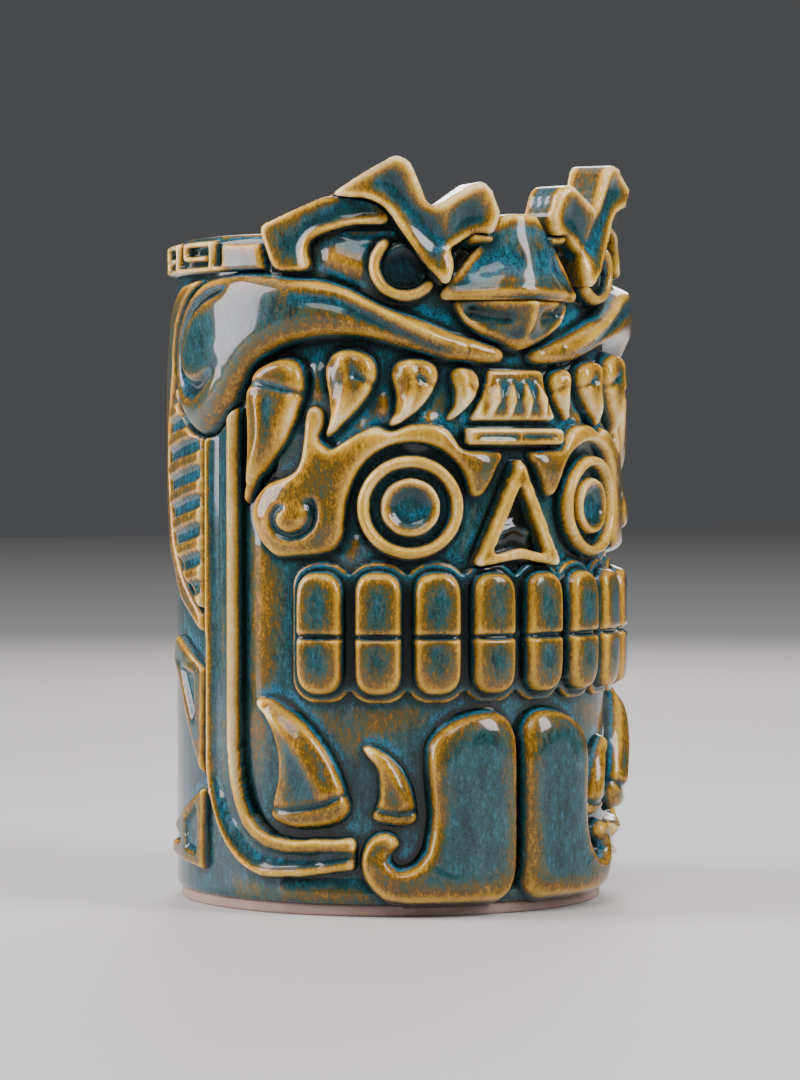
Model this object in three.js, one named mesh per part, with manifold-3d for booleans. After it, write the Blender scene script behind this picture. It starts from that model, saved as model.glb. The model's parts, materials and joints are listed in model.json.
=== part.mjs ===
// A ceramic tiki mug: a skull looks out of the open jaws of a crested beast, all in relief round a straight vessel.
// Millimetres, +Z up. The origin is the centre of the foot's underside. The face looks along -Y, and left and right
// are those of someone who looks at the face.
//
// Every relief piece is drawn on a sheet that is unrolled from the wall: a place is [degrees round from the middle of
// the face, height], and the left half is drawn, with its degrees negative. The piece is raised from the sheet and the
// sheet is rolled round the wall, so the relief follows the wall's radius and height.
import * as THREE from "three";
import { ConvexGeometry } from "three/addons/geometries/ConvexGeometry.js";
import { mergeVertices } from "three/addons/utils/BufferGeometryUtils.js";
import Module from "manifold-3d";

const wasm = await Module();
wasm.setup();

// The vessel.
const WALL_RADIUS = 47;
const WALL_THICKNESS = 5.5;
const RIM_HEIGHT = 143;
const FLOOR_THICKNESS = 6;
const LIP_ROUND = 2.4;
const INNER_CORNER = 8;
const FOOT_HEIGHT = 2.5;
const FOOT_INSET = 1.1;
const FOOT_CHAMFER = 0.9;
const NOSE_POCKET_DEPTH = 3;
const CREST = { back: 3.4, front: 0.15 }; // the crests grow from this far behind the wall's face to this far

// The relief: how far each piece stands out from the wall.
const SEAT = 0.3; // clearance between a piece and what it seats on
const APART = 0.45; // clearance between two pieces side by side
const JAW = { field: 2, bead: 3.6 };
const TONGUE_RISE = 4.6;
const GUM_RISE = 1.5;
const TOOTH_RISE = 4.9;
const LIP_RISE = { front: 6, curl: 2.6, bend: 58, end: 106 }; // it gets lower from the bend, in degrees, to the end
const FOLD_FLOOR = 1.4;
const LID_RISE = 2.6;
const RIDGE_RISE = 6.6;
const CRESCENT_RISE = 3;
const CRESCENT = { outer: 7, inner: 5.2, from: 123, to: 331 };
const PUPIL_RADIUS = 4.3;
const PUPIL_RISE = 2.2;
const ARCH_RISE = 3;
const SPIRAL_FLOOR = 1.2;
const RING = { radius: 11, hole: 8.3, rise: 3.9 };
const IRIS = { radius: 6.3, dish: 4, rise: 3.4, floor: 1.8 };
const NOSE_RISE = 4;
const NOSE_FRAME = 1.5;
const PLAQUE_RISE = 2.2;
const PETAL_RISE = 3.8;
const PLAQUE_BAR_RISE = 3.6;
const FANG_RISE = 4.4;
const LOWER_FANG_RISE = 4.2;
const FAN_RISE = 1.9;
const FAN_STEP = 0.9;
const FAN = { right: -87.8, top: 112, bottom: 63, feathers: 8 };
const FAN_RIM_RISE = 2.4;
const PANEL_RISE = 1.8;
const FRET = {
  rise: 2, low: 135.2, high: 141.8, bar: 1.3, post: 2, gap: 1, first: -83.5, pitch: 19.4, width: 15.4, count: 5,
};
const SPINE_RISE = 2.2;
const EDGE = 0.4; // chamfer round the front of a piece

// Teeth: four columns on each side, an upper and a lower tooth in each.
const TOOTH = { pitch: 14.35, gap: 1.45, top: 72.7, bottom: 46.1, round: 4, bite: 58.6, biteGap: 0.9, web: 0.9 };
const GUM_OVERLAP = 0.8; // how far the gum round one column of teeth runs into the next column's gum

// The sheet that the relief is drawn on is this tall at the rim, and is stretched to the wall's height.
const SHEET_RIM = 143;

const LEFT = 1;
const RIGHT = -1;
const DEGREE = Math.PI / 180;
const CURVE_STEPS = 2; // steps for each point that a curve is drawn through
const LONGEST_RUN = 9.5; // longest stretch round the wall without a vertex
const WALL_SEGMENTS = 64;
const BIG = 400;

const GLAZE = { color: 0x3f6f74, roughness: 0.12, metalness: 0 };
const AMBER = { color: 0x9a7434, roughness: 0.12, metalness: 0 };
const BARE_CLAY = { color: 0x8f7468, roughness: 0.8, metalness: 0 };

// Sheet and wall ------------------------------------------------------------------------------------------------

const tall = (height) => (height * RIM_HEIGHT) / SHEET_RIM;
const round = (degrees) => degrees * DEGREE * WALL_RADIUS;
const onSheet = (side, [degrees, height]) => new THREE.Vector2(side * round(degrees), tall(height));

/** A closed outline. A stroke that is one place is a straight line to it; a list of places is a smooth stretch. */
function outline(side, start, ...strokes) {
  const shape = new THREE.Shape();
  shape.moveTo(...onSheet(side, start).toArray());
  for (const stroke of strokes) {
    const places = Array.isArray(stroke[0]) ? smooth(shape.currentPoint, stroke.map((p) => onSheet(side, p))) : [
      onSheet(side, stroke),
    ];
    places.forEach((place) => shape.lineTo(place.x, place.y));
  }
  return shape;
}

/** Places on a smooth line through a start and more places, without the start. */
function smooth(start, places) {
  const curve = new THREE.CatmullRomCurve3([start, ...places].map(({ x, y }) => new THREE.Vector3(x, y, 0)));
  return curve.getPoints(CURVE_STEPS * places.length).slice(1);
}

/** A rounded box on the sheet, in mm, about a centre. */
function roundedBox(centre, width, height, radius) {
  const [x, y] = [centre.x - width / 2, centre.y - height / 2];
  const shape = new THREE.Shape();
  shape.moveTo(x + radius, y);
  shape.lineTo(x + width - radius, y);
  shape.absarc(x + width - radius, y + radius, radius, -Math.PI / 2, 0, false);
  shape.lineTo(x + width, y + height - radius);
  shape.absarc(x + width - radius, y + height - radius, radius, 0, Math.PI / 2, false);
  shape.lineTo(x + radius, y + height);
  shape.absarc(x + radius, y + height - radius, radius, Math.PI / 2, Math.PI, false);
  shape.lineTo(x, y + radius);
  shape.absarc(x + radius, y + radius, radius, Math.PI, 1.5 * Math.PI, false);
  return shape;
}

/** A closed band along a line of places, its half width given at each. */
function bandAlong(line, halfWidths) {
  const edge = (sign) =>
    line.map((p, i) => {
      const along = line[Math.min(i + 1, line.length - 1)].clone().sub(line[Math.max(i - 1, 0)]).normalize();
      return new THREE.Vector2(p.x - sign * along.y * halfWidths[i], p.y + sign * along.x * halfWidths[i]);
    });
  return new THREE.Shape([...edge(1), ...edge(-1).reverse()]);
}

/** A spiral from the first angle to the last, in degrees, its radius going evenly from one value to the other. */
function spiral(centre, [from, to], [outer, inner], steps) {
  return Array.from({ length: steps + 1 }, (_, i) => {
    const share = i / steps;
    const angle = (from + (to - from) * share) * DEGREE;
    const radius = outer + (inner - outer) * share;
    return new THREE.Vector2(centre.x + radius * Math.cos(angle), centre.y + radius * Math.sin(angle));
  });
}

/** The solid of a closed mesh. */
function solid(geometry) {
  geometry.deleteAttribute("normal");
  geometry.deleteAttribute("uv");
  const merged = mergeVertices(geometry, 1e-4);
  return new wasm.Manifold(
    new wasm.Mesh({
      numProp: 3,
      vertProperties: merged.getAttribute("position").array,
      triVerts: Uint32Array.from(merged.index.array),
    }),
  );
}

function block([x0, y0, z0], [x1, y1, z1]) {
  const box = new THREE.BoxGeometry(x1 - x0, y1 - y0, z1 - z0);
  return solid(box.translate((x0 + x1) / 2, (y0 + y1) / 2, (z0 + z1) / 2));
}

/** A straight prism of an outline, from one height above the sheet to another, grown outwards by grow. */
function prism(shape, low, high, grow = 0, steps = CURVE_STEPS) {
  const cap = grow ? 0.01 : 0;
  const geometry = new THREE.ExtrudeGeometry(shape, {
    depth: high - low - 2 * cap,
    bevelEnabled: grow !== 0,
    bevelThickness: cap,
    bevelSize: grow,
    bevelSegments: 1,
    curveSegments: steps,
  });
  return solid(geometry.translate(0, 0, low + cap));
}

/** A piece raised from the sheet, with a chamfer round its front. */
function raised(shape, to, { from = SEAT, edge = EDGE, steps = CURVE_STEPS } = {}) {
  const geometry = new THREE.ExtrudeGeometry(shape, {
    depth: to - from,
    bevelEnabled: true,
    bevelThickness: edge,
    bevelSize: edge,
    bevelOffset: -edge,
    bevelSegments: 1,
    curveSegments: steps,
  });
  const whole = solid(geometry.translate(0, 0, from - edge));
  return whole.subtract(block([-BIG, -BIG, -BIG], [BIG, BIG, from]));
}

/** The room that a piece and its clearance take up, all the way through the relief. */
const room = (shape) => prism(shape, -BIG / 4, BIG / 4, APART);

/** Splits the triangles until no edge runs further round the wall than LONGEST_RUN. */
function split(points, triangles) {
  const middles = new Map();
  const middle = (a, b) => {
    const key = a < b ? `${a} ${b}` : `${b} ${a}`;
    if (!middles.has(key)) {
      middles.set(key, points.length);
      points.push(points[a].map((value, i) => (value + points[b][i]) / 2));
    }
    return middles.get(key);
  };
  const run = ([a, b]) => Math.abs(points[a][0] - points[b][0]);
  const done = [];
  const waiting = [...triangles];
  while (waiting.length) {
    const [a, b, c] = waiting.pop();
    const [[p, q, r]] = [[a, b, c], [b, c, a], [c, a, b]].sort((m, n) => run(n) - run(m));
    if (run([p, q]) <= LONGEST_RUN) {
      done.push([a, b, c]);
      continue;
    }
    const m = middle(p, q);
    waiting.push([p, m, r], [m, q, r]);
  }
  return done;
}

/** A solid on the sheet, rolled round the wall. */
function rolled(flat) {
  const mesh = flat.getMesh();
  const points = Array.from({ length: mesh.numVert }, (_, i) => [
    ...mesh.vertProperties.subarray(i * mesh.numProp, i * mesh.numProp + 3),
  ]);
  const corners = Array.from({ length: mesh.numTri }, (_, i) => [...mesh.triVerts.subarray(i * 3, i * 3 + 3)]);
  const triangles = split(points, corners);
  const places = points.map(([x, y, rise]) => {
    const angle = x / WALL_RADIUS;
    const radius = WALL_RADIUS + rise;
    return [radius * Math.sin(angle), -radius * Math.cos(angle), y];
  });
  const geometry = new THREE.BufferGeometry();
  geometry.setAttribute("position", new THREE.Float32BufferAttribute(places.flat(), 3));
  geometry.setIndex(triangles.flat());
  return geometry;
}

/** The hull of places on the sheet, each [degrees, height, rise], given for the left half and mirrored. */
function hull(places) {
  const both = places.flatMap(([degrees, height, rise]) => [[degrees, height, rise], [-degrees, height, rise]]);
  const points = both.map(([degrees, height, rise]) => new THREE.Vector3(round(degrees), tall(height), rise));
  return solid(new ConvexGeometry(points));
}

const mug = new THREE.Group();

function add(name, geometry, finish) {
  geometry.computeVertexNormals();
  const mesh = new THREE.Mesh(geometry, new THREE.MeshStandardMaterial(finish));
  mesh.name = name;
  mug.add(mesh);
}

const addRolled = (name, flat, finish = GLAZE) => add(name, rolled(flat), finish);

/** The same piece on both sides. */
function addPair(name, make, finish) {
  addRolled(`${name}_left`, make(LEFT), finish);
  addRolled(`${name}_right`, make(RIGHT), finish);
}

// Outlines that more than one piece needs -----------------------------------------------------------------------

const lipOutline = (side) =>
  outline(
    side,
    [-3.4, 115.7],
    [
      [-9, 115.6], [-14, 116], [-20, 116.6], [-31, 119.4], [-43, 121.4], [-56, 120.3], [-66, 116.6], [-72, 111.2],
      [-77, 105],
    ],
    [
      [-84, 101], [-91, 101.2], [-98, 105], [-103.4, 111], [-104.6, 117.5], [-102, 123.5], [-95, 129.6],
      [-86, 133.5],
    ],
    [[-74, 134.4], [-64, 134.1], [-56, 133]],
    [[-50, 133], [-43, 131], [-35, 127.4], [-27, 125], [-18, 121.9], [-11.6, 120.2], [-7, 119.3], [-3.6, 118.7]],
  );

const ridgeOutline = (side) =>
  outline(
    side,
    [-47.5, 150.2],
    [-34, 157.4],
    [[-31.2, 158.4], [-28.4, 157]],
    [-24.6, 149],
    [[-23.4, 147.9], [-22, 148.4]],
    [-14, 152.8],
    [[-11.8, 153.2], [-9.2, 151.6]],
    [-7, 146.5],
    [-8.6, 142.4],
    [-13, 142.6],
    [-18.8, 139.2],
    [-18.4, 135],
    [-19.8, 131.2],
    [[-24, 134.8], [-30.6, 143.2], [-34.6, 148], [-39, 149.7]],
  );

const lidOutline = (side) =>
  outline(
    side,
    [-66.4, 144],
    [-49.2, 149.6],
    [-40, 148.8],
    [[-36, 147.6], [-33.4, 144.8]],
    [[-40, 145.1], [-49, 143.4], [-53.4, 141.6], [-54.6, 138.6], [-53.2, 135.4]],
    [-61.6, 135.4],
    [-63, 137],
  );

const arcOutline = (centre, outer, inner, from, to) => {
  const shape = new THREE.Shape();
  shape.absarc(centre.x, centre.y, outer, from, to, false);
  shape.absarc(centre.x, centre.y, inner, to, from, true);
  return shape;
};

const UPPER_FANGS = [
  [[-60, 117.2], [[-55.6, 116.4], [-53.2, 111], [-55.6, 105], [-58.6, 98.4], [-66, 91.6], [-72.4, 85]],
    [-73.6, 86.4],
    [[-71, 91.8], [-70.2, 99], [-70.6, 107], [-70.4, 111], [-67, 115.4]]],
  [[-43.5, 118.9], [[-37.2, 117.2], [-35.9, 112.8], [-38.6, 108], [-43.4, 103.4], [-49.4, 99.2]],
    [-50.4, 100], [-48.2, 103], [[-48.4, 109], [-49.5, 114.4], [-47.8, 117.8]]],
  [[-27.4, 116.9], [[-22.2, 115.9], [-20.6, 113], [-23.4, 108], [-27.4, 104.4], [-33.2, 101.7]],
    [-34.2, 102.4], [-32.2, 105], [[-31.8, 109.4], [-33.2, 113.6], [-31.4, 116.2]]],
  [[-14.6, 115.1], [[-11.2, 114], [-10.2, 111.2], [-11.8, 107.8], [-14.8, 105.2], [-18.8, 103]],
    [-19.8, 103.4], [-17.6, 105.9], [[-17, 109.6], [-18.4, 113], [-17, 114.8]]],
];
const upperFang = (side, i) => outline(side, ...UPPER_FANGS[i]);

const tongueOutline = (side) =>
  outline(
    side,
    [-0.7, 37.5],
    [[-2.4, 41], [-6.5, 43], [-13, 42.6], [-19.5, 40.4], [-23.6, 36.4], [-23.8, 30]],
    [-23, 22],
    [[-24, 14.4], [-27.6, 10.6], [-31.6, 10], [-34, 12]],
    [-33.2, 14.2],
    [-30.2, 14.8],
    [-31.2, 17],
    [[-34.6, 18.1], [-38.6, 16], [-40.2, 11.6], [-38.6, 7.2], [-34.6, 3.7]],
    [-29, 3],
    [-6, 3],
    [[-2.2, 4.8], [-0.7, 9]],
  );

const fanRimOutline = (side) =>
  outline(
    side,
    [-88, 133.8],
    [
      [-99, 132.8], [-107.4, 127.4], [-112.4, 118], [-115.4, 107], [-115.8, 96], [-113.8, 85], [-108.6, 75],
      [-99.6, 65],
    ],
    [-87.8, 57.8],
    [-87.8, 62.4],
    [[-96, 68.6], [-103.6, 76], [-108.4, 85], [-110.2, 96], [-108.8, 107], [-103, 116]],
    [-88, 126],
  );

// Vessel and foot -----------------------------------------------------------------------------------------------

/** A turned solid with its axis on +Z. */
function turned(profile, segments = WALL_SEGMENTS) {
  const points = profile.map(([radius, height]) => new THREE.Vector2(radius, height));
  return new THREE.LatheGeometry(points, segments).rotateX(Math.PI / 2);
}

/** Places on a quarter circle in the wall's section. */
function quarter([x, y], radius, from, to, steps) {
  return Array.from({ length: steps + 1 }, (_, i) => {
    const angle = (from + ((to - from) * i) / steps) * DEGREE;
    return [x + radius * Math.cos(angle), y + radius * Math.sin(angle)];
  });
}

const noseOutline = (inset) => {
  const apex = tall(95.6) - 2.6 * inset;
  const corner = tall(73.4) + inset;
  const half = round(12.2) - 1.9 * inset;
  const shape = new THREE.Shape();
  shape.moveTo(-half, corner);
  shape.quadraticCurveTo(0, corner + tall(3.6), half, corner);
  shape.lineTo(0, apex);
  return shape;
};

function crest(side) {
  const shape = outline(
    side,
    [-66.4, SHEET_RIM - 4],
    [-66.4, SHEET_RIM + 1],
    [-34, 157.4],
    [[-31.2, 158.4], [-28.4, 157]],
    [-24.6, 149],
    [[-23.4, 147.9], [-22, 148.4]],
    [-14, 152.8],
    [[-11.8, 153.2], [-9.2, 151.6]],
    [-6.6, 146.9],
    [0, 146.6],
    [0, SHEET_RIM - 4],
  );
  return solid(rolled(prism(shape, -CREST.back, -CREST.front)));
}

function vessel() {
  const inner = WALL_RADIUS - WALL_THICKNESS;
  const floor = FOOT_HEIGHT + FLOOR_THICKNESS;
  const wall = solid(
    turned([
      [0, FOOT_HEIGHT],
      [WALL_RADIUS - FOOT_CHAMFER, FOOT_HEIGHT],
      [WALL_RADIUS, FOOT_HEIGHT + FOOT_CHAMFER],
      ...quarter([WALL_RADIUS - LIP_ROUND, RIM_HEIGHT - LIP_ROUND], LIP_ROUND, 0, 90, 2),
      ...quarter([inner + LIP_ROUND, RIM_HEIGHT - LIP_ROUND], LIP_ROUND, 90, 180, 2),
      ...quarter([inner - INNER_CORNER, floor + INNER_CORNER], INNER_CORNER, 0, -90, 2),
      [0, floor],
    ]),
  );
  const pocket = solid(rolled(prism(noseOutline(NOSE_FRAME), -NOSE_POCKET_DEPTH, SEAT)));
  const whole = wall.add(crest(LEFT)).add(crest(RIGHT)).subtract(pocket);
  const mesh = whole.getMesh();
  const geometry = new THREE.BufferGeometry();
  geometry.setAttribute("position", new THREE.BufferAttribute(mesh.vertProperties, 3));
  geometry.setIndex([...mesh.triVerts]);
  return geometry;
}

function foot() {
  const radius = WALL_RADIUS - FOOT_INSET;
  const chamfer = [[radius - FOOT_CHAMFER, 0], [radius, FOOT_CHAMFER]];
  return turned([[0, 0], ...chamfer, [radius, FOOT_HEIGHT], [0, FOOT_HEIGHT]]);
}

add("vessel", vessel(), GLAZE);
add("foot_disc", foot(), BARE_CLAY);

// The beast's lower jaw, tongue and lower fangs -----------------------------------------------------------------

addPair("jaw_band", (side) => {
  const innerEdge = [[-57, 16.2], [[-64, 17], [-69.6, 20.8], [-73, 28], [-74, 37]]];
  const field = outline(
    side,
    [-86.4, 110],
    [-86.2, 33],
    [[-85, 24.6], [-81, 16.6], [-75, 10.6], [-67, 7.6]],
    [-56, 8],
    [-41.4, 9.9],
    [-41.4, 16.8],
    ...innerEdge,
    [-74, 110],
  );
  const bead = outline(
    side,
    [-77, 110],
    [-77, 37],
    [[-75.8, 27.4], [-71.6, 18.4], [-64.6, 14.2], [-57, 13.4]],
    [-41.4, 14],
    [-41.4, 16.8],
    ...innerEdge,
    [-74, 110],
  );
  return raised(field, JAW.field).add(raised(bead, JAW.bead)).subtract(room(lipOutline(side)));
});

addPair("tongue", (side) => raised(tongueOutline(side), TONGUE_RISE, { edge: 1 }));

addPair("lower_fang_outer", (side) =>
  raised(
    outline(
      side,
      [-70.6, 45.8],
      [[-65, 46], [-58, 43.4], [-50, 37], [-45, 29.6], [-42.4, 22.6]],
      [[-45, 19.9], [-52, 18.5], [-60, 18.6], [-64.8, 20.9]],
      [[-61.8, 27.6], [-61.6, 33.6], [-64.4, 41]],
    ),
    LOWER_FANG_RISE,
  ),
);

addPair("lower_fang_inner", (side) =>
  raised(
    outline(
      side,
      [-41.6, 36.6],
      [[-36, 35.6], [-30.4, 32], [-27, 26.4], [-25.8, 19.6]],
      [[-31, 19], [-38.4, 20.4]],
      [[-35.8, 25.4], [-36.4, 31.4]],
    ),
    LOWER_FANG_RISE - 1,
  ),
);

// Teeth ---------------------------------------------------------------------------------------------------------

const toothCentres = Array.from({ length: 4 }, (_, i) => -TOOTH.pitch * (i + 0.5));
const toothBox = (degrees, border) => {
  const middle = new THREE.Vector2(round(degrees), tall((TOOTH.top + TOOTH.bottom) / 2));
  const width = round(TOOTH.pitch) - TOOTH.gap;
  const height = tall(TOOTH.top - TOOTH.bottom);
  return roundedBox(middle, width + 2 * border, height + 2 * border, TOOTH.round + border);
};

addRolled(
  "gum_plate",
  [...toothCentres, ...toothCentres.map((degrees) => -degrees)]
    .map((degrees) => prism(toothBox(degrees, TOOTH.gap / 2 + GUM_OVERLAP), SEAT, GUM_RISE))
    .reduce((plate, scallop) => plate.add(scallop))
    .subtract(room(noseOutline(0))),
  AMBER,
);

toothCentres.forEach((degrees, i) =>
  addPair(`tooth_pair_${i + 1}`, (side) => {
    const low = GUM_RISE + SEAT;
    const column = raised(toothBox(side * degrees, 0), TOOTH_RISE, { from: low, edge: 1.1 });
    const bite = tall(TOOTH.bite);
    return column.subtract(
      block([-BIG, bite - TOOTH.biteGap / 2, low + TOOTH.web], [BIG, bite + TOOTH.biteGap / 2, BIG]),
    );
  }),
);

// Skull: rings round the eyes, brow arches with cheek spirals, nose ---------------------------------------------

const eyeCentre = (side) => onSheet(side, [-28, 85.6]);
const disc = (centre, radius) => new THREE.Shape().absarc(centre.x, centre.y, radius, 0, 2 * Math.PI, false);
const ROUND_STEPS = 12;

/** A round boss with a hole or a dish in it. */
function boss(centre, radius, rise, hole, floor) {
  const turnedUp = (profile) => solid(turned(profile, 2 * ROUND_STEPS)).translate([centre.x, centre.y, 0]);
  if (floor)
    return turnedUp([
      [0, SEAT], [radius, SEAT], [radius, rise - EDGE], [radius - EDGE, rise], [hole + EDGE, rise],
      [hole, floor], [0, floor],
    ]);
  return turnedUp([
    [hole, SEAT], [radius, SEAT], [radius, rise - EDGE], [radius - EDGE, rise], [hole + EDGE, rise],
    [hole, rise - EDGE], [hole, SEAT],
  ]);
}

addPair("eye_ring", (side) => boss(eyeCentre(side), RING.radius, RING.rise, RING.hole, 0), AMBER);
addPair("eye_iris", (side) => boss(eyeCentre(side), IRIS.radius, IRIS.rise, IRIS.dish, IRIS.floor), AMBER);

addPair("brow_arch", (side) => {
  const arch = outline(
    side,
    [-11.4, 87.2],
    [[-8.8, 88.4], [-5.6, 93.6], [-2.4, 97.4]],
    [-15.2, 97.8],
    [[-18.4, 102], [-25, 103.4], [-32, 102.6], [-38, 102.6], [-44, 99.8], [-48.4, 97]],
    [-49.4, 105.8],
    [[-52, 107.6], [-54.6, 105.6]],
    [[-55.2, 99], [-56.4, 93.6], [-59.4, 92.2], [-64.4, 91], [-68.2, 88], [-69.8, 84], [-67.4, 78.8]],
    [[-62.4, 74.8], [-56, 75.4], [-47.6, 76], [-44.4, 79]],
    [[-43.6, 86], [-40.8, 93], [-35, 97.6], [-28, 99], [-20.6, 97.6], [-15.4, 93.4], [-13.4, 88.6]],
  );
  const spiralLine = spiral(onSheet(side, [-58, 83.6]), side === LEFT ? [40, -250] : [140, 430], [5.6, 2.2], 14);
  const slot = bandAlong(spiralLine, spiralLine.map((_, i) => 0.9 - 0.03 * i));
  const groove = prism(slot, SPIRAL_FLOOR, BIG);
  const whole = raised(arch, ARCH_RISE);
  return [1, 2].reduce((left, i) => left.subtract(room(upperFang(side, i))), whole).subtract(groove);
});

addRolled(
  "nose_frame",
  raised(noseOutline(0), NOSE_RISE, { edge: 0.5 }).subtract(prism(noseOutline(NOSE_FRAME), -1, BIG)),
  AMBER,
);

// The beast's upper jaw: fangs, plaque of incisors, lip, beak ---------------------------------------------------

UPPER_FANGS.forEach((_, i) =>
  addPair(`upper_fang_${i + 1}`, (side) => raised(upperFang(side, i), FANG_RISE - 0.3 * i)),
);

{
  const plate = outline(
    LEFT,
    [-8.2, 114.4],
    [[-9, 110.6], [-13, 103.6]],
    [13, 103.6],
    [[9, 110.6], [8.2, 114.4]],
  );
  const petal = (degrees) => {
    const centre = onSheet(LEFT, [degrees, 108]);
    const shape = new THREE.Shape();
    shape.absellipse(centre.x, centre.y, 1.55, 3.9, 0, 2 * Math.PI, false, 0.04 * degrees);
    return raised(shape, PETAL_RISE, { edge: 0.6 });
  };
  addRolled(
    "incisor_plaque",
    [-7, -2.4, 2.4, 7].reduce((plaque, degrees) => plaque.add(petal(degrees)), raised(plate, PLAQUE_RISE)),
    AMBER,
  );
  addRolled(
    "plaque_bar",
    raised(outline(LEFT, [-14.2, 98.5], [14.2, 98.5], [14.2, 102.3], [-14.2, 102.3]), PLAQUE_BAR_RISE),
    AMBER,
  );
}

const lipCover = [95, 140].flatMap((height) => [
  [LIP_RISE.bend, height, 0],
  [LIP_RISE.bend, height, LIP_RISE.front],
  [LIP_RISE.end, height, 0],
  [LIP_RISE.end, height, LIP_RISE.curl],
]);

addPair("lip", (side) => {
  const fold = outline(
    side,
    [-75, 131.9],
    [[-84, 131.4], [-92, 128.8], [-98.4, 124], [-101.4, 118], [-100.4, 112.8], [-95.6, 109.2], [-89, 108.8]],
    [-79.5, 114.2],
    [[-84, 112.8], [-89, 111.8], [-94.6, 113.4], [-97, 117.6], [-94.6, 122.8], [-87.6, 127.8], [-80, 130.3]],
  );
  return raised(lipOutline(side), LIP_RISE.front, { edge: 1.2 })
    .intersect(hull(lipCover))
    .subtract(prism(fold, FOLD_FLOOR, BIG));
});

addRolled(
  "beak_bridge",
  hull([
    [-4.2, 146.4, SEAT], [-9.4, 141, SEAT], [-20.6, 129.2, SEAT], [-3, 146.2, 4], [-6, 141, 4.4],
    [-20.6, 129.2, 1.4], [-19.6, 130.2, 1.2], [-11, 129.4, 7], [0, 129.6, 9.6], [-6, 131.6, 8.2], [0, 132.4, 8.8],
  ]),
);
addRolled(
  "beak_under",
  hull([
    [-17.6, 128.6, SEAT], [-14, 123.8, SEAT], [-7.4, 119.9, SEAT], [0, 118.3, SEAT], [-16.6, 128.6, 2.4],
    [-9, 128.6, 6.6], [0, 128.6, 9], [0, 124, 7.4], [-5, 123, 5.2], [0, 119, 2.8], [-12, 124.6, 2.4],
  ]),
);

// The beast's eyes and brows ------------------------------------------------------------------------------------

const beastEye = (side) => onSheet(side, [-29.4, 135.6]);

addPair(
  "eye_crescent",
  (side) => {
    const [from, to] =
      side === LEFT ? [CRESCENT.from, CRESCENT.to] : [180 - CRESCENT.to, 180 - CRESCENT.from];
    const shape = arcOutline(beastEye(side), CRESCENT.outer, CRESCENT.inner, from * DEGREE, to * DEGREE);
    return raised(shape, CRESCENT_RISE, { steps: ROUND_STEPS / 2 })
      .subtract(room(ridgeOutline(side)))
      .subtract(room(lipOutline(side)));
  },
  AMBER,
);
addPair("beast_pupil", (side) =>
  raised(disc(beastEye(side), PUPIL_RADIUS), PUPIL_RISE, { steps: ROUND_STEPS / 2 })
    .subtract(room(ridgeOutline(side))),
);
addPair("brow_lid", (side) => raised(lidOutline(side), LID_RISE).subtract(room(ridgeOutline(side))));
addPair("brow_ridge", (side) => raised(ridgeOutline(side), RIDGE_RISE, { edge: 1.2 }));

// Sides and back: feather fans, panels, rim frieze, spine -------------------------------------------------------

addPair("feather_fan", (side) => {
  const field = outline(
    side,
    [FAN.right, FAN.top],
    [FAN.right, FAN.bottom],
    [[-96, 69.6], [-103.2, 77], [-107.6, 86], [-109.4, 96], [-108, 106]],
    [-103, 114],
  );
  const blades = Array.from({ length: FAN.feathers }, (_, i) => {
    const step = (FAN.top - FAN.bottom) / FAN.feathers;
    const low = FAN.bottom + step * i;
    return outline(side, [FAN.right, low + 1], [-112, low - 3], [-112, low], [FAN.right, low + 4]);
  });
  const bed = raised(field, FAN_RISE);
  const raisedBlade = (blade) => prism(blade, FAN_RISE - 0.4, FAN_RISE + FAN_STEP);
  const stepped = blades.reduce((bladed, blade) => bladed.add(raisedBlade(blade)), bed);
  return stepped.intersect(prism(field, -1, BIG)).subtract(room(lipOutline(side)));
});

addPair(
  "fan_rim",
  (side) => raised(fanRimOutline(side), FAN_RIM_RISE).subtract(room(lipOutline(side))),
  AMBER,
);

addPair("zigzag_panel", (side) =>
  raised(
    outline(side, [-106, 57.4], [-104, 57.6], [-88.2, 51.2], [-89, 27.2], [-104.8, 49.2], [-108.4, 52]),
    PANEL_RISE,
  ).subtract(prism(outline(side, [-101.4, 50.8], [-93, 49.2], [-93, 39.2]), 0.9, BIG)),
);

addPair("corner_panel", (side) =>
  raised(
    outline(side, [-88.2, 26], [-88.6, 7.8], [-110, 9.8], [-110, 13.4], [-101.6, 13.2], [-108.6, 16.6]),
    PANEL_RISE,
  ).subtract(prism(outline(side, [-92, 21.6], [-92, 11.4], [-98, 12.2], [-98.6, 17.8]), 0.9, BIG)),
);

/** A step beside the brow, then a fret of square hooks, all on a rail that runs on to the middle of the back. */
addPair("rim_frieze", (side) => {
  const { low, high, bar, post, gap, first, pitch, width, count } = FRET;
  const rail = low + bar;
  const hooks = Array.from({ length: count }, (_, i) => {
    const right = first - pitch * i;
    const left = right - width;
    const shelf = rail + gap;
    return [
      [right, rail], [right, high], [left, high], [left, shelf], [right - 2 * post, shelf],
      [right - 2 * post, shelf + bar], [left + post, shelf + bar], [left + post, high - bar],
      [right - post, high - bar], [right - post, rail],
    ];
  }).flat();
  const start = [[-65.6, low], [-66.4, rail], [-67.4, 140.8], [-80.4, 141.2], [-80.4, rail]];
  return raised(outline(side, ...start, ...hooks, [-179.4, rail], [-179.4, low]), FRET.rise, { edge: 0.3 });
});

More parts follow.
